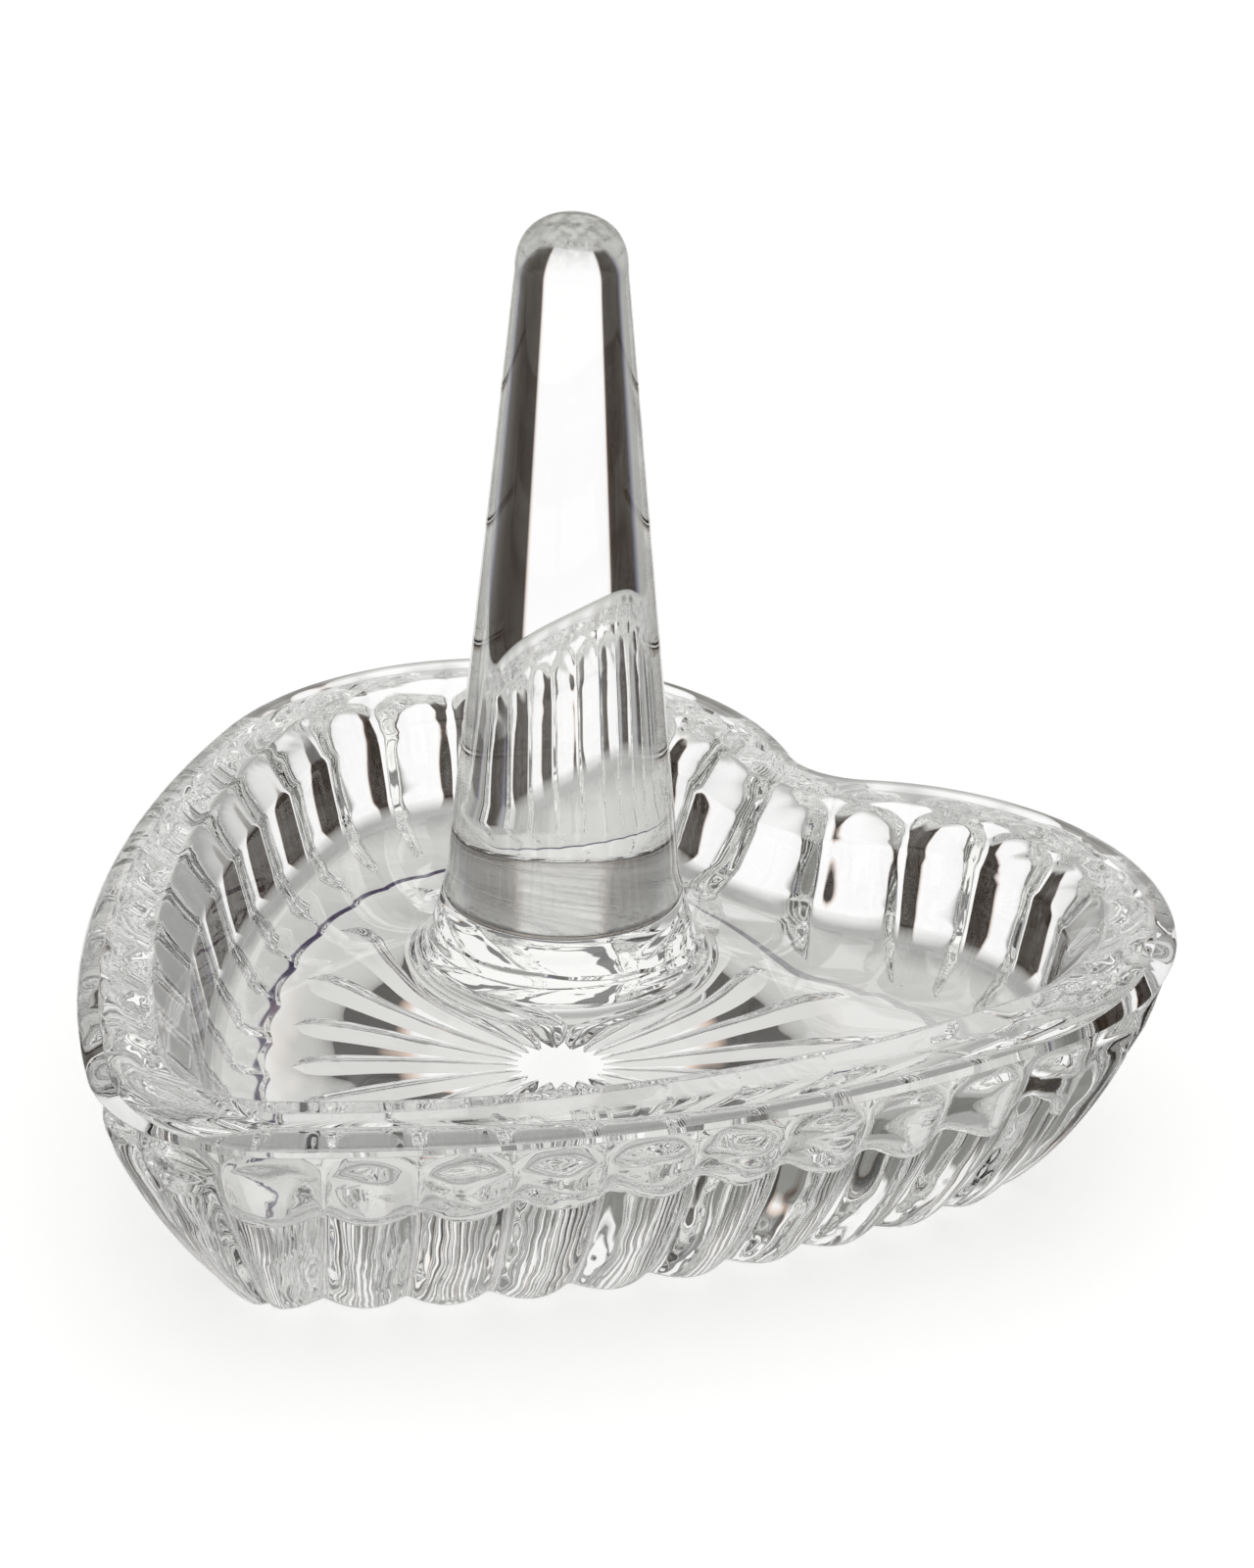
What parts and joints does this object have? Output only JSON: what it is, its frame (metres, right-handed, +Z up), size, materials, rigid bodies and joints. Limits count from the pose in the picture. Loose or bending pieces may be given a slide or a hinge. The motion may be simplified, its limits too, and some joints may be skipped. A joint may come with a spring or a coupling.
{
  "type": "ring holder",
  "caption": "Heart-shaped clear crystal dish with a reeded outer wall and a star-cut base, and a tapered round post bonded to a flared boss in its middle that holds finger rings.",
  "frame": {"origin": "on the post's axis, on the plane that the base stands on", "axes": "+Z up along the post's axis, +Y towards the cleft of the heart, -Y towards its tip"},
  "size_m": [0.1018, 0.1016, 0.0914],
  "materials": {
    "dish_crystal": "fire-polished clear crystal, pressed reeds and cut base",
    "bond_film": "thin clear cured adhesive",
    "post_crystal": "polished clear crystal"
  },
  "bodies": {
    "root": {"heart_dish": "dish_crystal", "post_bond": "bond_film", "ring_post": "post_crystal"}
  },
  "joints": []
}
